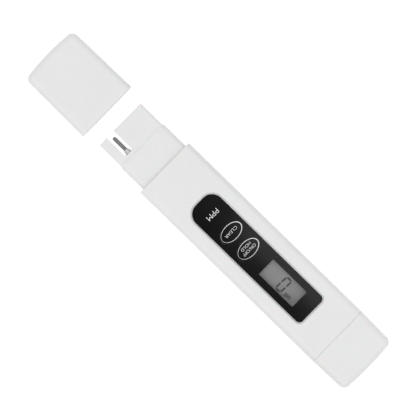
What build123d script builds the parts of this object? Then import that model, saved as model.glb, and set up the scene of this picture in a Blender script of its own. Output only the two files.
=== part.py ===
"""Pocket water tester: a flat pen with a two-pin probe, two keys, a liquid-crystal
display and two button cells, with a pull-off probe cap and a pull-off battery cap.

Frame: the tester lies on its back. X runs across it, Y along it towards the battery
end, and Z up out of its front face. The origin is the centre of the housing's flat
back. Sizes are in millimetres. The probe cap stands off the probe, as taken off.
"""

from build123d import *

import os

os.makedirs("parts", exist_ok=True)

# ---- driving dimensions: housing -----------------------------------------------------
BODY_W = 29.2
BODY_T = 14.0
BODY_R = 3.0
WALL = 1.6
CAVITY_R = 1.6
HOUSING_L = 101.5
EDGE_SOFT = 0.25
SEAM_SOFT = 0.1
SEAM = 0.05
LIP_W = 0.7
LIP_H = 0.8
LIP_PLAY = 0.05
LIP_STOP = 1.0
ROOT = 0.5

NECK_W = 25.6
NECK_T = 10.6
NECK_R = 2.4
NECK_L = 13.2
NECK_WALL = 1.2

# ---- driving dimensions: probe -------------------------------------------------------
TIP_W = 24.6
TIP_T = 10.0
TIP_R = 1.2
TIP_L = 12.8
TIP_WALL = 1.2
TIP_EDGE_SOFT = 0.35
CORE_R = 0.6
PLUG_PLAY = 0.1
PLUG_L = 10.0
PLUG_R = 1.1
PLUG_WALL = 1.1
SLOT_X = 5.95
SLOT_W = 4.3
SLOT_DEPTH = 10.55
SLOT_CORNER = 0.3

PIN_R = 0.78
PIN_Z_OFFSET = 2.9
PIN_SET_BACK = 1.8
PIN_POINT = 0.7
PIN_WINDOW_W = 3.0
BUSH_R = 1.2
BUSH_NOSE_R = 1.0
BUSH_NOSE_L = 0.5
BUSH_PROUD = 1.5
BUSH_SEAT = 1.8
BUSH_SOFT = 0.12
BUSH_NOTCH_L = 0.55
BUSH_NOTCH_W = 2.5

POTTING_WALL = 1.45
POTTING_L = 3.0
PIN_TAIL_L = 3.5
LEAD_R = 0.35
LEAD_BEND = 2.2
LEAD_STOPS = (5.0, 9.0, 14.0)
SENSOR_X = -1.0
SENSOR_RISE = 0.1
SENSOR_R = 0.95
SENSOR_L = 2.4
SENSOR_SOFT = 0.5
SENSOR_DEPTH = 0.25
SENSOR_LEAD_R = 0.22
SENSOR_LEAD_X = 0.5
SENSOR_LEAD_ROOT = 0.8

# ---- driving dimensions: caps --------------------------------------------------------
PROBE_CAP_L = 34.9
PROBE_CAP_GAP = 7.7
PROBE_CAP_CROWN = 1.0
BATTERY_CAP_L = 18.3
BATTERY_CAP_CROWN = 0.65
CAP_END_W = 28.4
CAP_R = 2.95
CAP_MOUTH_R = 0.5
CAP_PLAY = 0.2
CAP_END_WALL = 2.4
RIB_H = 0.15
RIB_W = 0.8
RIB_SET_BACK = 1.5
PROBE_RIB_L = 10.5
BATTERY_RIB_L = 8.0

# ---- driving dimensions: label and keys ----------------------------------------------
LABEL_W = 15.0
LABEL_L = 66.05
LABEL_Y = 2.75
LABEL_T = 0.3
LABEL_R_PROBE = 5.3
LABEL_R_BATTERY = 2.0
RECESS_DEPTH = 1.1
RECESS_GAP = 0.35
RECESS_BEVEL_W = 0.45
RECESS_BEVEL_H = 0.75
WINDOW_W = 8.85
WINDOW_L = 19.8
WINDOW_Y = 18.7
LENS_TUCK = 0.2
LENS_PLAY = 0.1
LENS_RISE = 0.05
LENS_CORNER = 0.3

KEY_W = 11.9
KEY_L = 7.8
KEY_GAP = 0.1
KEY_CENTRES = {"clear": -11.65, "power": -1.7}
KEY_SOFT = 0.12
KEY_TRAVEL = 0.3
KEY_FOOT_R = 1.5
FLANGE_W = 0.8
FLANGE_L = 0.7
FLANGE_T = 0.85
FLANGE_PLAY = 0.1

STEM_R = 1.75
STEM_TOP = 11.1
STEM_SINK = 0.3
STEM_PLAY = 0.1
STEM_SOFT = 0.15
SWITCH_SIDE = 6.0
SWITCH_H = 3.0
SWITCH_CORNER = 0.5
TERMINAL_L = 1.2
TERMINAL_W = 0.8
TERMINAL_T = 0.3
TERMINAL_PITCH = 4.0

# ---- driving dimensions: display -----------------------------------------------------
GLASS_W = 12.6
GLASS_L = 24.5
GLASS_T = 0.7
GLASS_PLAY = 0.1
REAR_GLASS_W = 10.9
FILM_L = 22.4
POLARISER_W = 10.4
POLARISER_T = 0.08
REFLECTOR_T = 0.15
STACK_PLAY = 0.05
FRAME_W = 15.4
FRAME_L = 27.6
FRAME_CORNER = 0.8
FRAME_PLAY = 0.15
LEDGE_L = 1.1
LEDGE_Y = 11.9
STRIP_W = 0.8
STRIP_L = 21.0
STRIP_X = 5.9

# ---- driving dimensions: circuit board -----------------------------------------------
BOARD_T = 1.0
BOARD_TOP = 7.6
BOARD_W = 23.0
BOARD_START = -47.0
BOARD_END = 49.5
BOARD_CORNER = 1.0
BOARD_RIB_W = 20.0
BOARD_RIB_T = 1.2
BOARD_RIB_YS = (-24.0, 22.0)
BOARD_RIB_PLAY = 0.1

SCREW_R = 0.85
SCREW_X = 9.6
SCREW_YS = (-38.0, 38.6)
SCREW_TOP = 10.9
SCREW_HOLE_R = 1.0
SCREW_HEAD_R = 1.6
SCREW_HEAD_H = 1.1
SCREW_CROSS_L = 2.0
SCREW_CROSS_W = 0.45
SCREW_CROSS_H = 0.5
BOSS_R = 2.0
PILOT_PLAY = 0.01
PILOT_TOP = 11.2

BLOB_R = 4.6
BLOB_H = 1.4
BLOB_SOFT = 1.2
CRYSTAL_X = 7.2
CRYSTAL_R = 0.98
CRYSTAL_DROP = 1.0
CRYSTAL_START = -15.0
CRYSTAL_L = 6.2
RESISTOR = (2.0, 1.2, 0.5)
RESISTOR_MID = (0, -32.5)
RESISTOR_GRID = (4.0, 3.0, 4, 2)
CAPACITOR = (2.0, 1.3, 0.9)
CAPACITOR_MID = (-1.0, -25.5)
CAPACITOR_GRID = (5.0, 3.0, 3, 1)

# ---- driving dimensions: battery compartment -----------------------------------------
CELL_R = 5.8
CELL_H = 5.4
CELL_SOFT = 0.35
CELL_X = 6.0
CELL_Y = 58.4
CELL_FLOOR = 3.3
CELL_CAP_R = 4.5
CELL_CAP_H = 0.35
POCKET_PLAY = 0.15
SHEET_T = 0.3
BRIDGE_L = 6.0
BRIDGE_OVERLAP = 2.0
BRIDGE_CORNER = 1.0
CONTACT_W = 4.4
CONTACT_BACK = 45.6
CONTACT_RISE = 48.9
CONTACT_TIP = 59.5

TRAY_START = 43.8
TRAY_R = 1.5
TRAY_PLAY = 0.1
TRAY_WALL = 1.2
TRAY_SOFT = 0.5
TRAY_TO_CAP = 0.9
TONGUE_STEP = 0.2
SLEEVE_R = 0.8
SLEEVE_PLAY = 0.2
SLEEVE_PAST_BOARD = 1.5
PASSAGE_L = 5.0
PASSAGE_HEIGHTS = (7.4, 9.6)

# ---- places and sizes worked out from them -------------------------------------------
MID_Z = BODY_T / 2
CAVITY_W = BODY_W - 2 * WALL
CAVITY_T = BODY_T - 2 * WALL
ROOF_Z = BODY_T - WALL
SHOULDER_Y = -HOUSING_L / 2
SEAM_Y = HOUSING_L / 2
NECK_END_Y = SHOULDER_Y - NECK_L
NECK_BORE_W = NECK_W - 2 * NECK_WALL
NECK_BORE_T = NECK_T - 2 * NECK_WALL
LIP_START = SHOULDER_Y + WALL
LIP_L = SEAM_Y - LIP_STOP - LIP_START
LIP_Y = LIP_START + LIP_L / 2

TIP_END_Y = NECK_END_Y - TIP_L
SLOT_END_Y = TIP_END_Y + SLOT_DEPTH
PLUG_END_Y = NECK_END_Y + PLUG_L
PLUG_W = NECK_BORE_W - 2 * PLUG_PLAY
PLUG_T = NECK_BORE_T - 2 * PLUG_PLAY
PLUG_CORE_W = PLUG_W - 2 * PLUG_WALL
PLUG_CORE_T = PLUG_T - 2 * PLUG_WALL
POTTING_START = NECK_END_Y + POTTING_WALL
POTTING_END = POTTING_START + POTTING_L
PIN_ZS = {"front": MID_Z + PIN_Z_OFFSET, "rear": MID_Z - PIN_Z_OFFSET}
PIN_TAIL_Y = POTTING_START + PIN_TAIL_L
SENSOR_Z = MID_Z + SENSOR_RISE
SENSOR_END = NECK_END_Y - SENSOR_DEPTH
SENSOR_LEAD_XS = (SENSOR_X - SENSOR_LEAD_X, SENSOR_X + SENSOR_LEAD_X)

PROBE_MOUTH_Y = TIP_END_Y - PROBE_CAP_GAP
PROBE_CAP_END_Y = PROBE_MOUTH_Y - PROBE_CAP_L
PROBE_BORE_W = NECK_W + 2 * CAP_PLAY
PROBE_BORE_T = NECK_T + 2 * CAP_PLAY
BATTERY_MOUTH_Y = SEAM_Y + SEAM
BATTERY_CAP_END_Y = BATTERY_MOUTH_Y + BATTERY_CAP_L

RECESS_Z = BODY_T - RECESS_DEPTH
LABEL_TOP = RECESS_Z + LABEL_T
FLANGE_TOP = ROOF_Z - FLANGE_PLAY
FLANGE_BOTTOM = FLANGE_TOP - FLANGE_T
BOARD_BOTTOM = BOARD_TOP - BOARD_T
SWITCH_TOP = BOARD_TOP + SWITCH_H
STEM_BOTTOM = SWITCH_TOP - STEM_SINK
SCREW_SPOTS = [(x, y) for x in (-SCREW_X, SCREW_X) for y in SCREW_YS]
LEAD_ENDS = {"front": BOARD_TOP + LEAD_R, "rear": BOARD_BOTTOM - LEAD_R}

POLARISER_TOP = ROOF_Z - STACK_PLAY
FRONT_GLASS_TOP = POLARISER_TOP - POLARISER_T
REAR_GLASS_TOP = FRONT_GLASS_TOP - GLASS_T
REFLECTOR_TOP = REAR_GLASS_TOP - GLASS_T
FRAME_TOP = ROOF_Z - FRAME_PLAY

TRAY_W = CAVITY_W - 2 * TRAY_PLAY
TRAY_T = CAVITY_T - 2 * TRAY_PLAY
TRAY_END = BATTERY_CAP_END_Y - CAP_END_WALL - TRAY_TO_CAP
TONGUE_W = TRAY_W - 2 * TONGUE_STEP
TONGUE_T = TRAY_T - 2 * TONGUE_STEP
BATTERY_BORE_W = TONGUE_W + 2 * CAP_PLAY
BATTERY_BORE_T = TONGUE_T + 2 * CAP_PLAY
SLEEVE_END = BOARD_END + SLEEVE_PAST_BOARD
STRAP_Z = CELL_FLOOR - SHEET_T
CELL_TOP = CELL_FLOOR + CELL_H
LEAF_TOP = CELL_TOP + SHEET_T

TOUCH = 0.01
written = []


# ---- shared shapes -------------------------------------------------------------------
def bar(width, thickness, radius, y_from, y_to, mode=Mode.ADD, x_mid=0.0):
    """Adds a rounded-rectangle bar along Y to the part in hand, or cuts one from it."""
    with BuildSketch(Plane.XZ.offset(-y_from)) as section:
        with Locations((x_mid, MID_Z)):
            RectangleRounded(width, thickness, radius)
    extrude(section.sketch, amount=y_from - y_to, mode=mode)


def block(x_mid, y_mid, width, length, z_from, z_to, mode=Mode.ADD):
    """Adds a square-cornered block, given by its plan and its two heights."""
    with BuildSketch(Plane.XY.offset(z_from)) as plan:
        with Locations((x_mid, y_mid)):
            Rectangle(width, length)
    extrude(plan.sketch, amount=z_to - z_from, mode=mode)


def post(x_mid, y_mid, radius, z_from, z_to, mode=Mode.ADD):
    """Adds an upright round post."""
    with BuildSketch(Plane.XY.offset(z_from)) as plan:
        with Locations((x_mid, y_mid)):
            Circle(radius)
    extrude(plan.sketch, amount=z_to - z_from, mode=mode)


def rod(x_mid, z_mid, radius, y_from, y_to, mode=Mode.ADD):
    """Adds a round rod along Y."""
    with BuildSketch(Plane.XZ.offset(-y_from)) as section:
        with Locations((x_mid, z_mid)):
            Circle(radius)
    extrude(section.sketch, amount=y_from - y_to, mode=mode)


def oval(y_mid, width, length, z_from, z_to, mode=Mode.ADD):
    """Adds an upright elliptical prism on the tester's centre line."""
    with BuildSketch(Plane.XY.offset(z_from)) as plan:
        with Locations((0, y_mid)):
            Ellipse(width / 2, length / 2)
    extrude(plan.sketch, amount=z_to - z_from, mode=mode)


def chips(size, middle, grid):
    """Adds a grid of equal chips that stand on the board."""
    length, width, height = size
    with BuildSketch(Plane.XY.offset(BOARD_TOP)) as plan:
        with Locations(middle):
            with GridLocations(*grid):
                Rectangle(length, width)
    extrude(plan.sketch, amount=height)


def label_outline(grow, z_from, z_to, mode=Mode.ADD):
    """The label's plan, with large corners at the probe end, grown by a margin."""
    with BuildSketch(Plane.XY.offset(z_from)) as plan:
        with Locations((0, LABEL_Y)):
            Rectangle(LABEL_W + 2 * grow, LABEL_L + 2 * grow)
        fillet(plan.vertices().sort_by(Axis.Y)[:2], LABEL_R_PROBE + grow)
        fillet(plan.vertices().sort_by(Axis.Y)[-2:], LABEL_R_BATTERY + grow)
    extrude(plan.sketch, amount=z_to - z_from, mode=mode)


def key_holes(z_from, z_to):
    """Cuts the two oval holes that the keys stand in."""
    for key_y in KEY_CENTRES.values():
        oval(key_y, KEY_W + 2 * KEY_GAP, KEY_L + 2 * KEY_GAP, z_from, z_to, Mode.SUBTRACT)


def cap_outline(mouth_y, end_y, crown):
    """A cap's tapered plan with a crowned end, pulled up to the full thickness."""
    corner_y = end_y - crown if end_y > mouth_y else end_y + crown
    with BuildSketch() as plan:
        with BuildLine():
            mouth = Line((BODY_W / 2, mouth_y), (-BODY_W / 2, mouth_y))
            side = Line(mouth @ 1, (-CAP_END_W / 2, corner_y))
            end = ThreePointArc(side @ 1, (0, end_y), (CAP_END_W / 2, corner_y))
            Line(end @ 1, mouth @ 0)
        make_face()
    extrude(plan.sketch, amount=BODY_T)


def crush_ribs(width, thickness, y_from, y_to):
    """Four low ribs inside a cap, two on each wide wall, that grip what it covers."""
    for x_mid in (-width / 4, width / 4):
        for z_wall in (MID_Z - thickness / 2, MID_Z + thickness / 2):
            block(
                x_mid,
                (y_from + y_to) / 2,
                RIB_W,
                abs(y_to - y_from),
                z_wall - RIB_H,
                z_wall + RIB_H,
            )


def housing_tube():
    """The hollow housing with its neck, before it is split into two shells."""
    bar(BODY_W, BODY_T, BODY_R, SHOULDER_Y, SEAM_Y)
    bar(NECK_W, NECK_T, NECK_R, NECK_END_Y, SHOULDER_Y)
    bar(CAVITY_W, CAVITY_T, CAVITY_R, LIP_START, SEAM_Y, Mode.SUBTRACT)
    bar(NECK_BORE_W, NECK_BORE_T, NECK_R - NECK_WALL, NECK_END_Y, LIP_START, Mode.SUBTRACT)


def soften_ends(builder, group):
    """Softens one half of the tube's outer edges at the seam and at the shoulder."""
    ends = builder.faces().filter_by(Axis.Y).group_by(Axis.Y)
    chamfer(ends[-1].edges().group_by(Axis.Z)[group], SEAM_SOFT)
    chamfer(ends[1].edges().group_by(Axis.Z)[group], EDGE_SOFT)


def seam_edges(builder):
    """The outer long edges where one shell meets the other, on housing and neck."""
    level = builder.edges().filter_by(Axis.Y).filter_by(
        lambda edge: abs(edge.center().Z - MID_Z) < TOUCH
    )
    return level.filter_by(
        lambda edge: any(abs(abs(edge.center().X) - w / 2) < TOUCH for w in (BODY_W, NECK_W))
    )


def finish(builder, name):
    """Labels a finished piece and writes its file."""
    builder.part.label = name
    export_step(builder.part, f"parts/{name}.step")
    written.append(name)


# ---- housing shells ------------------------------------------------------------------
with BuildPart() as front_shell:
    housing_tube()
    soften_ends(front_shell, -1)
    split(bisect_by=Plane.XY.offset(MID_Z), keep=Keep.TOP)
    chamfer(seam_edges(front_shell), SEAM_SOFT)
    label_outline(RECESS_GAP, RECESS_Z, BODY_T, Mode.SUBTRACT)
    rim = front_shell.faces().filter_by(Plane.XY).sort_by(Axis.Z)[-1]
    chamfer(rim.inner_wires()[0].edges(), RECESS_BEVEL_W, RECESS_BEVEL_H, reference=rim)
    block(
        0,
        WINDOW_Y,
        WINDOW_W + 2 * (LENS_TUCK + LENS_PLAY),
        WINDOW_L + 2 * (LENS_TUCK + LENS_PLAY),
        ROOF_Z,
        RECESS_Z,
        Mode.SUBTRACT,
    )
    key_holes(ROOF_Z, RECESS_Z)
    for side in (-1, 1):
        block(
            side * (CAVITY_W + LIP_W + LIP_PLAY) / 2,
            LIP_Y,
            LIP_W + LIP_PLAY,
            LIP_L + 2 * LIP_PLAY,
            MID_Z,
            MID_Z + LIP_H + LIP_PLAY,
            Mode.SUBTRACT,
        )
    for spot in SCREW_SPOTS:
        post(*spot, BOSS_R, BOARD_TOP, ROOF_Z)
        post(*spot, SCREW_R + PILOT_PLAY, BOARD_TOP, PILOT_TOP, Mode.SUBTRACT)
finish(front_shell, "front_shell")

with BuildPart() as rear_shell:
    housing_tube()
    soften_ends(rear_shell, 0)
    split(bisect_by=Plane.XY.offset(MID_Z), keep=Keep.BOTTOM)
    chamfer(seam_edges(rear_shell), SEAM_SOFT)
    for side in (-1, 1):
        block(side * (CAVITY_W + LIP_W) / 2, LIP_Y, LIP_W, LIP_L, MID_Z - ROOT, MID_Z + LIP_H)
    for rib_y in BOARD_RIB_YS:
        block(
            0,
            rib_y,
            BOARD_RIB_W,
            BOARD_RIB_T,
            WALL - ROOT,
            BOARD_BOTTOM - BOARD_RIB_PLAY,
        )
finish(rear_shell, "rear_shell")

# ---- label and window ----------------------------------------------------------------
with BuildPart() as label_overlay:
    label_outline(0, RECESS_Z, LABEL_TOP)
    block(0, WINDOW_Y, WINDOW_W, WINDOW_L, RECESS_Z, LABEL_TOP, Mode.SUBTRACT)
    key_holes(RECESS_Z, LABEL_TOP)
finish(label_overlay, "label_overlay")

with BuildPart() as display_lens:
    block(
        0,
        WINDOW_Y,
        WINDOW_W + 2 * LENS_TUCK,
        WINDOW_L + 2 * LENS_TUCK,
        ROOF_Z + LENS_RISE,
        RECESS_Z,
    )
    chamfer(display_lens.edges().filter_by(Axis.Z), LENS_CORNER)
finish(display_lens, "display_lens")

# ---- keys and their switches ---------------------------------------------------------
for key_name, key_y in KEY_CENTRES.items():
    with BuildPart() as key:
        oval(key_y, KEY_W, KEY_L, FLANGE_TOP, LABEL_TOP)
        fillet(key.edges().group_by(Axis.Z)[-1], KEY_SOFT)
        oval(
            key_y,
            KEY_W + 2 * FLANGE_W,
            KEY_L + 2 * FLANGE_L,
            FLANGE_BOTTOM,
            FLANGE_TOP,
        )
        post(0, key_y, KEY_FOOT_R, STEM_TOP, FLANGE_BOTTOM)
    finish(key, f"{key_name}_key")

    with BuildPart() as stem:
        post(0, key_y, STEM_R, STEM_BOTTOM, STEM_TOP)
        chamfer(stem.edges().group_by(Axis.Z)[-1], STEM_SOFT)
    finish(stem, f"{key_name}_switch_stem")

    with BuildPart() as switch:
        block(0, key_y, SWITCH_SIDE, SWITCH_SIDE, BOARD_TOP, SWITCH_TOP)
        chamfer(switch.edges().filter_by(Axis.Z), SWITCH_CORNER)
        well_floor = STEM_BOTTOM - KEY_TRAVEL - STEM_PLAY
        post(0, key_y, STEM_R + STEM_PLAY, well_floor, SWITCH_TOP, Mode.SUBTRACT)
    finish(switch, f"{key_name}_switch_body")

with BuildPart() as switch_terminals:
    for key_y in KEY_CENTRES.values():
        with BuildSketch(Plane.XY.offset(BOARD_TOP)) as feet:
            with Locations((0, key_y)):
                with GridLocations(SWITCH_SIDE + TERMINAL_L, TERMINAL_PITCH, 2, 2):
                    Rectangle(TERMINAL_L, TERMINAL_W)
        extrude(feet.sketch, amount=TERMINAL_T)
finish(switch_terminals, "switch_terminals")

# ---- display stack -------------------------------------------------------------------
LAYERS = {
    "display_polariser": (POLARISER_W, FILM_L, POLARISER_TOP, POLARISER_T),
    "display_front_glass": (GLASS_W, GLASS_L, FRONT_GLASS_TOP, GLASS_T),
    "display_rear_glass": (REAR_GLASS_W, GLASS_L, REAR_GLASS_TOP, GLASS_T),
    "display_reflector": (REAR_GLASS_W, FILM_L, REFLECTOR_TOP, REFLECTOR_T),
}
for layer_name, (width, length, top, thickness) in LAYERS.items():
    with BuildPart() as layer:
        block(0, WINDOW_Y, width, length, top - thickness, top)
    finish(layer, layer_name)

with BuildPart() as display_frame:
    block(0, WINDOW_Y, FRAME_W, FRAME_L, BOARD_TOP, FRAME_TOP)
    block(
        0,
        WINDOW_Y,
        GLASS_W + 2 * GLASS_PLAY,
        GLASS_L + 2 * GLASS_PLAY,
        BOARD_TOP,
        FRAME_TOP,
        Mode.SUBTRACT,
    )
    fillet(display_frame.edges().filter_by(Axis.Z).group_by(SortBy.DISTANCE)[-1], FRAME_CORNER)
    for ledge_y in (WINDOW_Y - LEDGE_Y, WINDOW_Y + LEDGE_Y):
        block(0, ledge_y, REAR_GLASS_W, LEDGE_L, BOARD_TOP, REFLECTOR_TOP)
finish(display_frame, "display_frame")

with BuildPart() as contact_strips:
    for strip_x in (-STRIP_X, STRIP_X):
        block(strip_x, WINDOW_Y, STRIP_W, STRIP_L, BOARD_TOP, REAR_GLASS_TOP)
finish(contact_strips, "display_contact_strips")

# ---- circuit board and what it carries -----------------------------------------------
with BuildPart() as circuit_board:
    block(
        0,
        (BOARD_START + BOARD_END) / 2,
        BOARD_W,
        BOARD_END - BOARD_START,
        BOARD_BOTTOM,
        BOARD_TOP,
    )
    chamfer(circuit_board.edges().filter_by(Axis.Z), BOARD_CORNER)
    for spot in SCREW_SPOTS:
        post(*spot, SCREW_HOLE_R, BOARD_BOTTOM, BOARD_TOP, Mode.SUBTRACT)
finish(circuit_board, "circuit_board")

with BuildPart() as board_screws:
    head_z = BOARD_BOTTOM - SCREW_HEAD_H
    cross_z = head_z + SCREW_CROSS_H
    for spot in SCREW_SPOTS:
        post(*spot, SCREW_HEAD_R, head_z, BOARD_BOTTOM)
        post(*spot, SCREW_R, BOARD_BOTTOM, SCREW_TOP)
        block(*spot, SCREW_CROSS_L, SCREW_CROSS_W, head_z, cross_z, Mode.SUBTRACT)
        block(*spot, SCREW_CROSS_W, SCREW_CROSS_L, head_z, cross_z, Mode.SUBTRACT)
finish(board_screws, "board_screws")

with BuildPart() as controller_blob:
    post(0, 0, BLOB_R, BOARD_BOTTOM - BLOB_H, BOARD_BOTTOM)
    fillet(controller_blob.edges().group_by(Axis.Z)[0], BLOB_SOFT)
finish(controller_blob, "controller_blob")

with BuildPart() as timing_crystal:
    crystal_z = BOARD_BOTTOM - CRYSTAL_DROP
    rod(CRYSTAL_X, crystal_z, CRYSTAL_R, CRYSTAL_START, CRYSTAL_START + CRYSTAL_L)
finish(timing_crystal, "timing_crystal")

with BuildPart() as chip_resistors:
    chips(RESISTOR, RESISTOR_MID, RESISTOR_GRID)
finish(chip_resistors, "chip_resistors")

with BuildPart() as chip_capacitors:
    chips(CAPACITOR, CAPACITOR_MID, CAPACITOR_GRID)
finish(chip_capacitors, "chip_capacitors")

# ---- probe ---------------------------------------------------------------------------
with BuildPart() as probe_head:
    bar(TIP_W, TIP_T, TIP_R, TIP_END_Y, NECK_END_Y)
    fillet(probe_head.edges().group_by(Axis.Y)[0], TIP_EDGE_SOFT)
    bar(PLUG_W, PLUG_T, PLUG_R, NECK_END_Y, PLUG_END_Y)
    block(
        SLOT_X,
        SLOT_END_Y - SLOT_DEPTH,
        SLOT_W,
        2 * SLOT_DEPTH,
        0,
        BODY_T,
        Mode.SUBTRACT,
    )
    slot_corners = probe_head.edges().filter_by(Axis.Z).filter_by(
        lambda edge: abs(edge.center().Y - SLOT_END_Y) < TOUCH
    )
    fillet(slot_corners, SLOT_CORNER)
    bar(PLUG_CORE_W, PLUG_CORE_T, CORE_R, POTTING_START, PLUG_END_Y, Mode.SUBTRACT)
    core_left = -TIP_W / 2 + TIP_WALL
    core_right = SLOT_X - SLOT_W / 2 - TIP_WALL
    bar(
        core_right - core_left,
        PLUG_CORE_T,
        CORE_R,
        TIP_END_Y + TIP_WALL,
        POTTING_START,
        Mode.SUBTRACT,
        x_mid=(core_left + core_right) / 2,
    )
    block(
        SLOT_X,
        (POTTING_START + PLUG_END_Y) / 2,
        PIN_WINDOW_W,
        PLUG_END_Y - POTTING_START,
        0,
        BODY_T,
        Mode.SUBTRACT,
    )
    for pin_z in PIN_ZS.values():
        open_face = 0 if pin_z < MID_Z else BODY_T
        block(
            SLOT_X,
            SLOT_END_Y + BUSH_NOTCH_L / 2,
            BUSH_NOTCH_W,
            BUSH_NOTCH_L,
            min(pin_z, open_face),
            max(pin_z, open_face),
            Mode.SUBTRACT,
        )
        rod(SLOT_X, pin_z, BUSH_R, SLOT_END_Y, SLOT_END_Y + BUSH_SEAT, Mode.SUBTRACT)
        rod(SLOT_X, pin_z, PIN_R, SLOT_END_Y, POTTING_START, Mode.SUBTRACT)
finish(probe_head, "probe_head")

for pin_name, pin_z in PIN_ZS.items():
    with BuildPart() as pin:
        rod(SLOT_X, pin_z, PIN_R, TIP_END_Y + PIN_SET_BACK, PIN_TAIL_Y)
        fillet(pin.edges().group_by(Axis.Y)[0], PIN_POINT)
    finish(pin, f"{pin_name}_electrode_pin")

    nose_y = SLOT_END_Y - BUSH_PROUD
    seat_y = SLOT_END_Y + BUSH_SEAT
    with BuildPart() as bush:
        rod(SLOT_X, pin_z, BUSH_NOSE_R, nose_y, nose_y + BUSH_NOSE_L)
        rod(SLOT_X, pin_z, BUSH_R, nose_y + BUSH_NOSE_L, seat_y)
        fillet(bush.edges().group_by(Axis.Y)[0], BUSH_SOFT)
        rod(SLOT_X, pin_z, PIN_R, nose_y, seat_y, Mode.SUBTRACT)
    finish(bush, f"{pin_name}_pin_bush")

    lead_z = LEAD_ENDS[pin_name]
    with BuildPart() as lead:
        with BuildLine() as route:
            FilletPolyline(
                (SLOT_X, PIN_TAIL_Y, pin_z),
                (SLOT_X, PIN_TAIL_Y + LEAD_STOPS[0], pin_z),
                (SLOT_X, PIN_TAIL_Y + LEAD_STOPS[1], lead_z),
                (SLOT_X, PIN_TAIL_Y + LEAD_STOPS[2], lead_z),
                radius=LEAD_BEND,
            )
        with BuildSketch(Plane.XZ.offset(-PIN_TAIL_Y)) as section:
            with Locations((SLOT_X, pin_z)):
                Circle(LEAD_R)
        sweep(path=route.line)
    finish(lead, f"{pin_name}_electrode_lead")

with BuildPart() as temperature_sensor:
    rod(SENSOR_X, SENSOR_Z, SENSOR_R, SENSOR_END - SENSOR_L, SENSOR_END)
    fillet(temperature_sensor.edges(), SENSOR_SOFT)
    for lead_x in SENSOR_LEAD_XS:
        rod(lead_x, SENSOR_Z, SENSOR_LEAD_R, SENSOR_END - SENSOR_LEAD_ROOT, BOARD_START)
finish(temperature_sensor, "temperature_sensor")

with BuildPart() as probe_potting:
    bar(PLUG_CORE_W, PLUG_CORE_T, CORE_R, POTTING_START, POTTING_END)
    block(
        SLOT_X,
        (POTTING_START + POTTING_END) / 2,
        PIN_WINDOW_W,
        POTTING_L,
        MID_Z - PLUG_T / 2,
        MID_Z + PLUG_T / 2,
    )
    for pin_z in PIN_ZS.values():
        rod(SLOT_X, pin_z, PIN_R, POTTING_START, POTTING_END, Mode.SUBTRACT)
    for lead_x in SENSOR_LEAD_XS:
        rod(lead_x, SENSOR_Z, SENSOR_LEAD_R, POTTING_START, POTTING_END, Mode.SUBTRACT)
finish(probe_potting, "probe_potting")

# ---- battery compartment -------------------------------------------------------------
with BuildPart() as battery_tray:
    bar(TRAY_W, TRAY_T, TRAY_R, TRAY_START, SEAM_Y)
    bar(TONGUE_W, TONGUE_T, TRAY_R, SEAM_Y, TRAY_END)
    fillet(battery_tray.edges().group_by(Axis.Y)[-1], TRAY_SOFT)
    bar(
        BOARD_W + 2 * SLEEVE_PLAY,
        TRAY_T - 2 * TRAY_WALL,
        SLEEVE_R,
        TRAY_START,
        SLEEVE_END,
        Mode.SUBTRACT,
    )
    for cell_x in (-CELL_X, CELL_X):
        post(cell_x, CELL_Y, CELL_R + POCKET_PLAY, STRAP_Z, BODY_T, Mode.SUBTRACT)
        block(
            cell_x,
            BOARD_END + PASSAGE_L / 2,
            CONTACT_W + 2 * SLEEVE_PLAY,
            PASSAGE_L,
            *PASSAGE_HEIGHTS,
            Mode.SUBTRACT,
        )
    block(
        0,
        CELL_Y,
        2 * CELL_X,
        BRIDGE_L + 2 * SLEEVE_PLAY,
        STRAP_Z,
        BODY_T,
        Mode.SUBTRACT,
    )
finish(battery_tray, "battery_tray")

CELLS = {"left": (-CELL_X, CELL_CAP_H, 0), "right": (CELL_X, 0, CELL_CAP_H)}
for cell_name, (cell_x, step_below, step_above) in CELLS.items():
    with BuildPart() as cell:
        post(cell_x, CELL_Y, CELL_R, CELL_FLOOR + step_below, CELL_TOP - step_above)
        fillet(cell.edges(), CELL_SOFT)
        post(cell_x, CELL_Y, CELL_CAP_R, CELL_FLOOR, CELL_TOP)
    finish(cell, f"{cell_name}_button_cell")

with BuildPart() as cell_bridge:
    block(0, CELL_Y, 2 * (CELL_X + BRIDGE_OVERLAP), BRIDGE_L, STRAP_Z, CELL_FLOOR)
    chamfer(cell_bridge.edges().filter_by(Axis.Z), BRIDGE_CORNER)
finish(cell_bridge, "cell_bridge_strap")

for contact_name, contact_x in (("positive", -CELL_X), ("negative", CELL_X)):
    with BuildPart() as contact:
        with BuildSketch(Plane.YZ.offset(contact_x - CONTACT_W / 2)) as profile:
            with BuildLine():
                Polyline(
                    (CONTACT_BACK, BOARD_TOP),
                    (CONTACT_RISE, BOARD_TOP),
                    (CONTACT_RISE, CELL_TOP),
                    (CONTACT_TIP, CELL_TOP),
                    (CONTACT_TIP, LEAF_TOP),
                    (CONTACT_RISE - SHEET_T, LEAF_TOP),
                    (CONTACT_RISE - SHEET_T, BOARD_TOP + SHEET_T),
                    (CONTACT_BACK, BOARD_TOP + SHEET_T),
                    close=True,
                )
            make_face()
        extrude(profile.sketch, amount=CONTACT_W)
    finish(contact, f"{contact_name}_contact")

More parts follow.
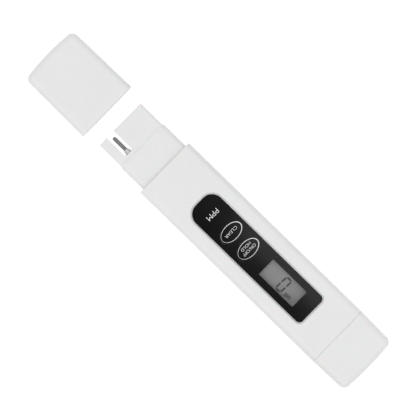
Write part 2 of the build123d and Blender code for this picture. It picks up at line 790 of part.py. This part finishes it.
# ---- caps ----------------------------------------------------------------------------
with BuildPart() as battery_cap:
    cap_outline(BATTERY_MOUTH_Y, BATTERY_CAP_END_Y, BATTERY_CAP_CROWN)
    mouth_edges = battery_cap.faces().sort_by(Axis.Y)[0].edges()
    fillet(battery_cap.edges() - mouth_edges, CAP_R)
    chamfer(battery_cap.faces().sort_by(Axis.Y)[0].edges(), SEAM_SOFT)
    bar(
        BATTERY_BORE_W,
        BATTERY_BORE_T,
        TRAY_R + SEAM_SOFT,
        BATTERY_MOUTH_Y,
        BATTERY_CAP_END_Y - CAP_END_WALL,
        Mode.SUBTRACT,
    )
    rib_start = BATTERY_MOUTH_Y + RIB_SET_BACK
    crush_ribs(BATTERY_BORE_W, BATTERY_BORE_T, rib_start, rib_start + BATTERY_RIB_L)
finish(battery_cap, "battery_cap")

with BuildPart() as probe_cap:
    cap_outline(PROBE_MOUTH_Y, PROBE_CAP_END_Y, PROBE_CAP_CROWN)
    mouth_edges = probe_cap.faces().sort_by(Axis.Y)[-1].edges()
    fillet(probe_cap.edges() - mouth_edges, CAP_R)
    fillet(probe_cap.faces().sort_by(Axis.Y)[-1].edges(), CAP_MOUTH_R)
    bar(
        PROBE_BORE_W,
        PROBE_BORE_T,
        NECK_R + CAP_PLAY,
        PROBE_CAP_END_Y + CAP_END_WALL,
        PROBE_MOUTH_Y,
        Mode.SUBTRACT,
    )
    rib_start = PROBE_MOUTH_Y - RIB_SET_BACK
    crush_ribs(PROBE_BORE_W, PROBE_BORE_T, rib_start - PROBE_RIB_L, rib_start)
finish(probe_cap, "probe_cap")

print(len(written), "pieces:", ", ".join(written))
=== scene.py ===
"""Looks for the pocket water tester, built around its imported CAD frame. Metres, +Z up."""

import math

import bmesh
import bpy
from mathutils import Matrix, Vector


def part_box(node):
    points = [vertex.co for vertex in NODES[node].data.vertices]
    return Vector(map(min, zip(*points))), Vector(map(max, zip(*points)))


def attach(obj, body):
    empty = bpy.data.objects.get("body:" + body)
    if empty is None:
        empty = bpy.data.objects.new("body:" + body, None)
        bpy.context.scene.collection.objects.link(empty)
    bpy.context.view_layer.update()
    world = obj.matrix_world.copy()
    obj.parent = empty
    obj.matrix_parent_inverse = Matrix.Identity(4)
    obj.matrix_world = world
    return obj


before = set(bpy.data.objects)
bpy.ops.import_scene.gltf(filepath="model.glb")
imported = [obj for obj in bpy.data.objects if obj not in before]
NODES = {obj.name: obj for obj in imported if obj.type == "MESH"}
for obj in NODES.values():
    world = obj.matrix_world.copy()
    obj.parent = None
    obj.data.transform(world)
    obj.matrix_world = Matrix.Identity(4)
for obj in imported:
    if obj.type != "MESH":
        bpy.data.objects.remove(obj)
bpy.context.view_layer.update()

scene = bpy.context.scene
MM = 0.001


# ---- node helpers ------------------------------------------------------------------
# A noise texture's values crowd around a half, so only its middle range is spread out.
MOTTLE_FROM, MOTTLE_TO = 0.35, 0.65
UNEVEN_FROM, UNEVEN_TO = 0.3, 0.7


def link(tree, from_node, output, to_node, socket):
    tree.links.new(from_node.outputs[output], to_node.inputs[socket])


def noise(tree, coords, scale, detail=2.0, stretch=(1.0, 1.0, 1.0)):
    """A noise texture in object coordinates, which may be stretched along an axis."""
    mapping = tree.nodes.new("ShaderNodeMapping")
    mapping.inputs["Scale"].default_value = stretch
    link(tree, coords, "Object", mapping, "Vector")
    texture = tree.nodes.new("ShaderNodeTexNoise")
    texture.inputs["Scale"].default_value = scale
    texture.inputs["Detail"].default_value = detail
    link(tree, mapping, "Vector", texture, "Vector")
    return texture


def ramp(tree, source, output, stops):
    """Colours along the values of an output, given as (value, colour) stops."""
    node = tree.nodes.new("ShaderNodeValToRGB")
    elements = node.color_ramp.elements
    while len(elements) < len(stops):
        elements.new(0.5)
    for element, (place, colour) in zip(elements, stops):
        element.position = place
        element.color = (*colour, 1.0)
    link(tree, source, output, node, "Fac")
    return node


def grey_ramp(tree, source, output, stops):
    """The same for greys, given as (value, brightness) stops."""
    return ramp(tree, source, output, [(place, (level,) * 3) for place, level in stops])


def spread(tree, source, output, low, high):
    """Maps a texture's middle range to a range of roughness."""
    node = tree.nodes.new("ShaderNodeMapRange")
    node.inputs["From Min"].default_value = UNEVEN_FROM
    node.inputs["From Max"].default_value = UNEVEN_TO
    node.inputs["To Min"].default_value = low
    node.inputs["To Max"].default_value = high
    link(tree, source, output, node, "Value")
    return node


def tinted(colour, factor):
    return tuple(min(1.0, channel * factor) for channel in colour)


def glow_material(name):
    """A material that only gives off light, and its emission node."""
    material = bpy.data.materials.new(name)
    material.use_nodes = True
    tree = material.node_tree
    tree.nodes.clear()
    glow = tree.nodes.new("ShaderNodeEmission")
    output = tree.nodes.new("ShaderNodeOutputMaterial")
    link(tree, glow, "Emission", output, "Surface")
    return material, glow


# ---- materials ---------------------------------------------------------------------
GLOSS_VARY = 0.08
GLOSS_FINENESS = 4
SUBSURFACE_DEPTH = 0.6 * MM


def surface(
    name,
    colour,
    roughness,
    vary=0.03,
    vary_scale=60.0,
    grain=2600.0,
    grain_depth=0.01,
    grain_strength=0.15,
    stretch=(1.0, 1.0, 1.0),
    metallic=0.0,
    specular=0.5,
    subsurface=0.0,
):
    """A procedural surface: mottled colour, uneven gloss and a fine grain, in mm deep."""
    material = bpy.data.materials.new(name)
    material.use_nodes = True
    tree = material.node_tree
    shader = tree.nodes["Principled BSDF"]
    coords = tree.nodes.new("ShaderNodeTexCoord")
    mottle = noise(tree, coords, vary_scale, 3.0, stretch)
    tones = ramp(
        tree,
        mottle,
        "Fac",
        [(MOTTLE_FROM, tinted(colour, 1 - vary)), (MOTTLE_TO, tinted(colour, 1 + vary))],
    )
    link(tree, tones, "Color", shader, "Base Color")
    gloss = spread(
        tree,
        noise(tree, coords, vary_scale * GLOSS_FINENESS, 2.0, stretch),
        "Fac",
        roughness * (1 - GLOSS_VARY),
        roughness * (1 + GLOSS_VARY),
    )
    link(tree, gloss, "Result", shader, "Roughness")
    bump = tree.nodes.new("ShaderNodeBump")
    bump.inputs["Strength"].default_value = grain_strength
    bump.inputs["Distance"].default_value = grain_depth * MM
    link(tree, noise(tree, coords, grain, 2.0, stretch), "Fac", bump, "Height")
    link(tree, bump, "Normal", shader, "Normal")
    shader.inputs["Metallic"].default_value = metallic
    shader.inputs["Specular IOR Level"].default_value = specular
    if subsurface:
        shader.inputs["Subsurface Weight"].default_value = subsurface
        shader.inputs["Subsurface Scale"].default_value = SUBSURFACE_DEPTH
    return material


white_abs = surface(
    "white_abs",
    (0.812, 0.812, 0.812),
    0.30,
    vary=0.006,
    grain=3200.0,
    specular=0.25,
    subsurface=0.08,
)
black_film = surface(
    "black_film",
    (0.0078, 0.0078, 0.0079),
    0.07,
    vary=0.10,
    vary_scale=90.0,
    grain=1400.0,
    grain_depth=0.002,
    grain_strength=0.10,
)
print_white = surface(
    "white_ink", (0.86, 0.86, 0.85), 0.45, vary=0.03, vary_scale=900.0, grain=5200.0
)
ink_grey = surface(
    "display_ink", (0.016, 0.017, 0.0165), 0.40, vary=0.04, vary_scale=700.0, grain=5200.0
)
cell_glass = surface(
    "cell_glass", (0.30, 0.32, 0.31), 0.08, vary=0.02, grain=900.0, grain_depth=0.001
)
reflector = surface(
    "reflector_foil", (0.42, 0.44, 0.42), 0.34, vary=0.05, metallic=0.7, grain=5000.0
)
laminate = surface(
    "solder_mask",
    (0.015, 0.14, 0.05),
    0.32,
    vary=0.22,
    vary_scale=420.0,
    stretch=(3.0, 1.0, 1.0),
    grain=1600.0,
)
epoxy = surface("black_epoxy", (0.015, 0.015, 0.016), 0.30, vary=0.12, grain=1500.0)
nylon = surface("switch_nylon", (0.024, 0.024, 0.026), 0.45, vary=0.08, grain=3600.0)
tinned = surface(
    "tinned_metal", (0.62, 0.61, 0.58), 0.28, vary=0.06, vary_scale=300.0, metallic=1.0
)
chip_glaze = surface("chip_glaze", (0.13, 0.10, 0.07), 0.30, vary=0.15, vary_scale=500.0)
zinc = surface(
    "zinc_plate", (0.50, 0.50, 0.50), 0.30, vary=0.08, vary_scale=400.0, metallic=1.0
)
pin_metal = surface(
    "pin_metal",
    (0.265, 0.265, 0.27),
    0.34,
    vary=0.10,
    vary_scale=800.0,
    stretch=(1.0, 0.12, 1.0),
    metallic=1.0,
)
bush_grey = surface("bush_grey", (0.65, 0.65, 0.65), 0.45, vary=0.03, grain=3800.0)
can_steel = surface(
    "can_steel", (0.60, 0.60, 0.59), 0.24, vary=0.05, vary_scale=220.0, metallic=1.0
)
leaf_nickel = surface(
    "leaf_nickel",
    (0.60, 0.56, 0.48),
    0.26,
    vary=0.07,
    vary_scale=350.0,
    stretch=(1.0, 0.2, 1.0),
    metallic=1.0,
)

WINDOW_HAZE = 0.10
POLARISER = (0.292, 0.294, 0.292)
# Painted shade on the display film: lightest at this spot, darker towards its edges.
PAINTED_LIT_SPOT = (-1.0 * MM, 14.0 * MM, 0.0)
PAINTED_SHADE_REACH = (5.5 * MM, 15.5 * MM, 1.0)
PAINTED_EDGE_SHADE = [(0.25, 1.0), (0.65, 0.90), (1.0, 0.60)]
STRIPE_SCALE = 900.0
STRIPE_STOPS = [(0.45, (0.03, 0.03, 0.03)), (0.55, (0.45, 0.44, 0.46))]


def window_plastic():
    """Clear window: mostly see-through, with a faint haze and a polished face."""
    material = surface(
        "clear_window", (0.25, 0.26, 0.255), 0.06, vary=0.02, grain=700.0, grain_depth=0.001
    )
    shader = material.node_tree.nodes["Principled BSDF"]
    shader.inputs["Alpha"].default_value = WINDOW_HAZE
    return material


def polariser_with_painted_shade():
    """Grey display film, its colour darkened towards its edges from a bright spot: painted
    shade from the window's rim.
    """
    material = surface("polariser_with_painted_shade", POLARISER, 0.36, grain=4200.0, grain_depth=0.004)
    tree = material.node_tree
    coords = tree.nodes.new("ShaderNodeTexCoord")
    place = tree.nodes.new("ShaderNodeMapping")
    place.vector_type = "TEXTURE"
    place.inputs["Location"].default_value = PAINTED_LIT_SPOT
    place.inputs["Scale"].default_value = PAINTED_SHADE_REACH
    link(tree, coords, "Object", place, "Vector")
    length = tree.nodes.new("ShaderNodeVectorMath")
    length.operation = "LENGTH"
    link(tree, place, "Vector", length, 0)
    stops = [(reach, tinted(POLARISER, level)) for reach, level in PAINTED_EDGE_SHADE]
    tones = ramp(tree, length, "Value", stops)
    link(tree, tones, "Color", tree.nodes["Principled BSDF"], "Base Color")
    return material


def striped_elastomer():
    """Fine conducting stripes across the contact strips."""
    material = surface("striped_elastomer", (0.30, 0.30, 0.32), 0.6, vary=0.04)
    tree = material.node_tree
    coords = tree.nodes.new("ShaderNodeTexCoord")
    wave = tree.nodes.new("ShaderNodeTexWave")
    wave.bands_direction = "Y"
    wave.inputs["Scale"].default_value = STRIPE_SCALE
    link(tree, coords, "Object", wave, "Vector")
    stripes = ramp(tree, wave, "Fac", STRIPE_STOPS)
    link(tree, stripes, "Color", tree.nodes["Principled BSDF"], "Base Color")
    return material


window = window_plastic()
polariser = polariser_with_painted_shade()
elastomer = striped_elastomer()

FINISHES = {
    "front_shell": white_abs,
    "rear_shell": white_abs,
    "probe_cap": white_abs,
    "battery_cap": white_abs,
    "probe_head": white_abs,
    "battery_tray": white_abs,
    "display_frame": white_abs,
    "label_overlay": black_film,
    "clear_key": black_film,
    "power_key": black_film,
    "display_lens": window,
    "display_polariser": polariser,
    "display_front_glass": cell_glass,
    "display_rear_glass": cell_glass,
    "display_reflector": reflector,
    "display_contact_strips": elastomer,
    "circuit_board": laminate,
    "controller_blob": epoxy,
    "probe_potting": epoxy,
    "temperature_sensor": epoxy,
    "clear_switch_body": nylon,
    "power_switch_body": nylon,
    "clear_switch_stem": nylon,
    "power_switch_stem": nylon,
    "switch_terminals": tinned,
    "timing_crystal": tinned,
    "front_electrode_lead": tinned,
    "rear_electrode_lead": tinned,
    "chip_resistors": chip_glaze,
    "chip_capacitors": chip_glaze,
    "board_screws": zinc,
    "front_electrode_pin": pin_metal,
    "rear_electrode_pin": pin_metal,
    "front_pin_bush": bush_grey,
    "rear_pin_bush": bush_grey,
    "left_button_cell": can_steel,
    "right_button_cell": can_steel,
    "positive_contact": leaf_nickel,
    "negative_contact": leaf_nickel,
    "cell_bridge_strap": leaf_nickel,
}
for node_name, material in FINISHES.items():
    materials = NODES[node_name].data.materials
    materials.clear()
    materials.append(material)


# ---- thin printed layers -----------------------------------------------------------
INK_T = 0.03 * MM
WELD = 0.001 * MM
ACROSS = Vector((1.0, 0.0))
ALONG = Vector((0.0, 1.0))


def add_mesh(name, mesh, material, body):
    """Links a mesh as a named piece that rides on a body."""
    piece = bpy.data.objects.new(name, mesh)
    scene.collection.objects.link(piece)
    mesh.materials.clear()
    mesh.materials.append(material)
    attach(piece, body)
    return piece


def outline_loops(work, outline, bottom):
    """The outline's corners at the top of a layer of ink, and those under them."""
    return [
        [work.verts.new((point.x, point.y, height)) for point in outline]
        for height in (bottom + INK_T, bottom)
    ]


def bridge(work, first, second):
    """Faces between two loops with the same number of corners."""
    for i in range(len(first)):
        j = (i + 1) % len(first)
        work.faces.new((first[i], second[i], second[j], first[j]))


def closed_mesh(work, mesh):
    """Writes the faces to the mesh, turned outwards."""
    bmesh.ops.recalc_face_normals(work, faces=work.faces)
    work.to_mesh(mesh)
    work.free()
    return mesh


def slabs(outlines, bottom):
    """A layer of ink for each flat outline."""
    work = bmesh.new()
    for outline in outlines:
        upper, lower = outline_loops(work, outline, bottom)
        work.faces.new(upper)
        work.faces.new(lower[::-1])
        bridge(work, upper, lower)
    return closed_mesh(work, bpy.data.meshes.new("print"))


def ring_slab(outer, inner, bottom):
    """A layer of ink between two outlines."""
    work = bmesh.new()
    outer_upper, outer_lower = outline_loops(work, outer, bottom)
    inner_upper, inner_lower = outline_loops(work, inner, bottom)
    bridge(work, outer_upper, inner_upper)
    bridge(work, outer_lower, inner_lower)
    bridge(work, outer_upper, outer_lower)
    bridge(work, inner_upper, inner_lower)
    return closed_mesh(work, bpy.data.meshes.new("print"))


def oval_points(centre, half_x, half_y, count=128):
    step = 2 * math.pi / count
    return [
        centre + Vector((half_x * math.cos(step * i), half_y * math.sin(step * i)))
        for i in range(count)
    ]


def legend(name, words, centre, size, bottom, right, up, weight):
    """A word in a layer of ink, fitted to its width and height, reading along right."""
    curve = bpy.data.curves.new(name, "FONT")
    curve.body = words
    curve.offset = weight
    curve.extrude = 0.5
    curve.resolution_u = 6
    text = bpy.data.objects.new(name, curve)
    scene.collection.objects.link(text)
    mesh = bpy.data.meshes.new_from_object(
        text.evaluated_get(bpy.context.evaluated_depsgraph_get())
    )
    bpy.data.objects.remove(text)
    bpy.data.curves.remove(curve)
    low = Vector(min(v.co[i] for v in mesh.vertices) for i in range(3))
    high = Vector(max(v.co[i] for v in mesh.vertices) for i in range(3))
    middle = (low + high) / 2
    stretch_x = size.x / (high.x - low.x)
    stretch_y = size.y / (high.y - low.y)
    for vertex in mesh.vertices:
        along = (vertex.co.x - middle.x) * stretch_x
        rise = (vertex.co.y - middle.y) * stretch_y
        spot = centre + right * along + up * rise
        height = bottom + INK_T if vertex.co.z > 0 else bottom
        vertex.co = (spot.x, spot.y, height)
    work = bmesh.new()
    work.from_mesh(mesh)
    bmesh.ops.remove_doubles(work, verts=work.verts, dist=WELD)
    return closed_mesh(work, mesh)


# ---- prints on the label and the keys ----------------------------------------------
LABEL_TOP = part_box("label_overlay")[1].z
PRINT_Z = LABEL_TOP - INK_T / 3
LETTER_WEIGHT = -0.012
RING_OUTER = (5.41 * MM, 3.37 * MM)
RING_INNER = (5.195 * MM, 3.155 * MM)
# The rings are real print; their line is drawn wider on the -X side than the +X side, a
# painted highlight on that side.
RING_OUTER_SHIFT = Vector((-0.285, -0.05)) * MM
RING_INNER_SHIFT = Vector((-0.155, -0.05)) * MM


def plan_middle(box):
    low, high = box
    return ((low + high) / 2).xy


def printed(name, words, centre, size, body):
    """A white word. Its centre and its size are in millimetres."""
    mesh = legend(
        name,
        words,
        Vector(centre) * MM,
        Vector(size) * MM,
        PRINT_Z,
        ACROSS,
        ALONG,
        LETTER_WEIGHT,
    )
    add_mesh(name, mesh, print_white, body)


printed("heading_print", "PPM", (-0.05, -22.55), (5.8, 2.2), "housing")

KEY_MIDDLES = {
    "clear": plan_middle(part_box("clear_key")),
    "power": plan_middle(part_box("power_key")),
}
for key_name, key_middle in KEY_MIDDLES.items():
    ring = ring_slab(
        oval_points(key_middle + RING_OUTER_SHIFT, *RING_OUTER),
        oval_points(key_middle + RING_INNER_SHIFT, *RING_INNER),
        PRINT_Z,
    )
    add_mesh(f"{key_name}_ring_print", ring, print_white, f"{key_name}_key")

clear_y = KEY_MIDDLES["clear"].y / MM
power_y = KEY_MIDDLES["power"].y / MM
printed("clear_print", "CLEAR", (-0.15, clear_y - 0.2), (6.5, 1.32), "clear_key")
printed("on_off_print", "ON/OFF", (-0.2, power_y + 0.6), (6.9, 1.32), "power_key")
printed("hold_print", "HOLD", (-0.1, power_y - 1.42), (5.2, 1.28), "power_key")


# ---- display segments --------------------------------------------------------------
DISPLAY_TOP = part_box("display_polariser")[1].z
DIGIT_Z = DISPLAY_TOP + 0.004 * MM
DIGIT_MID = Vector((0.26, 19.36)) * MM
DIGIT_HALF_W = 1.8 * MM
DIGIT_HALF_H = 3.7 * MM
STROKE = 0.82 * MM
SLANT = math.tan(math.radians(3.0))
JOINT_GAP = 0.16 * MM
UNIT_MID = Vector((2.85, 23.95)) * MM
UNIT_SIZE = Vector((3.15, 2.1)) * MM
UNIT_WEIGHT = 0.035

# Each bar of the zero runs between two corners, given as steps right and up.
BAR_ENDS = [
    ((-1, 1), (1, 1)),
    ((1, 0), (1, 1)),
    ((1, -1), (1, 0)),
    ((-1, -1), (1, -1)),
    ((-1, -1), (-1, 0)),
    ((-1, 0), (-1, 1)),
]


def on_display(along, rise):
    """A display point, read with its right along +Y and its top towards -X."""
    lean = along + rise * SLANT
    return DIGIT_MID + Vector((-rise, lean))


def corner(step_right, step_up):
    return Vector(
        (step_right * (DIGIT_HALF_W - STROKE / 2), step_up * (DIGIT_HALF_H - STROKE / 2))
    )


def bar_outline(start, end):
    """A six-sided bar of the digit between two of its corners."""
    axis = (end - start).normalized()
    side = Vector((-axis.y, axis.x)) * STROKE / 2
    head = axis * STROKE / 2
    start, end = start + axis * JOINT_GAP, end - axis * JOINT_GAP
    outline = [
        start,
        start + head + side,
        end - head + side,
        end,
        end - head - side,
        start + head - side,
    ]
    return [on_display(point.x, point.y) for point in outline]


digit = slabs([bar_outline(corner(*a), corner(*b)) for a, b in BAR_ENDS], DIGIT_Z)
add_mesh("digit_segments", digit, ink_grey, "housing")
unit = legend(
    "unit_segments", "ppm", UNIT_MID, UNIT_SIZE, DIGIT_Z, ALONG, -ACROSS, UNIT_WEIGHT
)
add_mesh("unit_segments", unit, ink_grey, "housing")


# ---- smooth shading on the curved mouldings ----------------------------------------
SMOOTH_ANGLE = math.radians(25.0)
for node in NODES.values():
    for polygon in node.data.polygons:
        polygon.use_smooth = True
    node.data.set_sharp_from_angle(angle=SMOOTH_ANGLE)


# ---- floor -------------------------------------------------------------------------
FLOOR_HALF = 6.0
FLOOR_Z = -0.2 * MM
FLOOR_MOTTLE_SCALE = 6.0
FLOOR_GLOW = 0.90
BOUNCE_Z = -0.4 * MM
BOUNCE_GLOW = 0.82


def flat_square(name, half, height, material):
    mesh = bpy.data.meshes.new(name)
    mesh.from_pydata(
        [(-half, -half, 0), (half, -half, 0), (half, half, 0), (-half, half, 0)],
        [],
        [(0, 1, 2, 3)],
    )
    mesh.materials.append(material)
    square = bpy.data.objects.new(name, mesh)
    square.location = (0.0, 0.0, height)
    scene.collection.objects.link(square)
    return square


def floor_material():
    """A pale matt floor that glows, so it looks white from above."""
    material = bpy.data.materials.new("pale_floor")
    material.use_nodes = True
    tree = material.node_tree
    shader = tree.nodes["Principled BSDF"]
    coords = tree.nodes.new("ShaderNodeTexCoord")
    mottle = noise(tree, coords, FLOOR_MOTTLE_SCALE, 3.0)
    tones = grey_ramp(tree, mottle, "Fac", [(UNEVEN_FROM, 0.19), (UNEVEN_TO, 0.21)])
    link(tree, tones, "Color", shader, "Base Color")
    shader.inputs["Roughness"].default_value = 0.9
    shader.inputs["Specular IOR Level"].default_value = 0.0
    shader.inputs["Emission Color"].default_value = (1.0, 1.0, 1.0, 1.0)
    shader.inputs["Emission Strength"].default_value = FLOOR_GLOW
    return material


def bounce_material():
    """The floor's light on the object, dimmer than the floor looks, to shade its sides."""
    material, glow = glow_material("floor_bounce")
    glow.inputs["Strength"].default_value = BOUNCE_GLOW
    return material


floor = flat_square("floor", FLOOR_HALF, FLOOR_Z, floor_material())
floor.visible_diffuse = False
bounce = flat_square("floor_bounce", FLOOR_HALF, BOUNCE_Z, bounce_material())
bounce.visible_camera = False
bounce.visible_glossy = False
bounce.visible_shadow = False


# ---- card that the glossy label reflects -------------------------------------------
CARD_HALF = 0.06
CARD_Z = 0.30
# The card's X and Y are scaled to run from 0 to 1 over 40 mm and 80 mm, around 0.5.
CARD_SCALE = (25.0, 12.5, 0.0)
CARD_CENTRE = (0.5, 0.5, 0.0)
CARD_ACROSS = [(0.36, 1.0), (0.43, 0.88), (0.50, 0.32), (0.58, 0.13), (0.66, 0.10)]
CARD_ALONG = [(0.26, 0.14), (0.33, 0.26), (0.38, 0.56), (0.44, 0.69)]


def card_material():
    """A glowing card: bright towards -X and the battery end, dark in its other corner."""
    material, glow = glow_material("reflection_card")
    tree = material.node_tree
    coords = tree.nodes.new("ShaderNodeTexCoord")
    place = tree.nodes.new("ShaderNodeMapping")
    place.inputs["Location"].default_value = CARD_CENTRE
    place.inputs["Scale"].default_value = CARD_SCALE
    link(tree, coords, "Object", place, "Vector")
    axes = tree.nodes.new("ShaderNodeSeparateXYZ")
    link(tree, place, "Vector", axes, "Vector")
    across = grey_ramp(tree, axes, "X", CARD_ACROSS)
    along = grey_ramp(tree, axes, "Y", CARD_ALONG)
    link(tree, across, "Color", glow, "Color")
    link(tree, along, "Color", glow, "Strength")
    return material


card = flat_square("reflection_card", CARD_HALF, CARD_Z, card_material())
card.visible_camera = False
card.visible_diffuse = False
card.visible_shadow = False
card.visible_transmission = False


# ---- sky and key light -------------------------------------------------------------
# Brightness by height: an even dome, dark straight above, where the card hangs.
SKY_STOPS = [(0.0, 0.62), (0.50, 0.86), (0.80, 1.00), (0.965, 1.00), (0.992, 0.05)]
SKY_STRENGTH = 1.04
KEY_PLACE = Vector((1.2, 0.5, 1.9))
KEY_AIM = Vector((0.0, -0.02, 0.0))
KEY_SIZE = 1.0
KEY_POWER = 5.0

world = bpy.data.worlds.new("studio")
scene.world = world
world.use_nodes = True
sky = world.node_tree
background = sky.nodes["Background"]
direction = sky.nodes.new("ShaderNodeTexCoord")
split_axes = sky.nodes.new("ShaderNodeSeparateXYZ")
link(sky, direction, "Generated", split_axes, "Vector")
link(sky, grey_ramp(sky, split_axes, "Z", SKY_STOPS), "Color", background, "Color")
background.inputs["Strength"].default_value = SKY_STRENGTH

key_light = bpy.data.lights.new("key_light", "AREA")
key_light.shape = "SQUARE"
key_light.size = KEY_SIZE
key_light.energy = KEY_POWER
key_lamp = bpy.data.objects.new("key_light", key_light)
key_lamp.location = KEY_PLACE
key_lamp.rotation_euler = (KEY_AIM - KEY_PLACE).to_track_quat("-Z", "Y").to_euler()
key_lamp.visible_camera = False
scene.collection.objects.link(key_lamp)


# ---- camera ------------------------------------------------------------------------
# It looks straight down, with the tester turned in the picture.
TARGET = Vector((-0.64, -24.67, 14.0)) * MM
VIEW_WIDTH = 176.4 * MM
VIEW_TURN = math.radians(44.3)
LENS = 1000.0
SENSOR_W = 36.0
CLIP_END = 20.0

camera_data = bpy.data.cameras.new("camera")
camera_data.lens = LENS
camera_data.sensor_width = SENSOR_W
camera_data.clip_end = CLIP_END
camera = bpy.data.objects.new("camera", camera_data)
right = Vector((-math.sin(VIEW_TURN), math.cos(VIEW_TURN), 0.0))
up = Vector((-math.cos(VIEW_TURN), -math.sin(VIEW_TURN), 0.0))
back = Vector((0.0, 0.0, 1.0))
distance = VIEW_WIDTH * LENS / SENSOR_W
rotation = Matrix((right, up, back)).transposed()
camera.matrix_world = Matrix.Translation(TARGET + back * distance) @ rotation.to_4x4()
scene.collection.objects.link(camera)
bpy.context.scene.camera = camera
scene.view_settings.view_transform = "Standard"
scene.view_settings.look = "None"
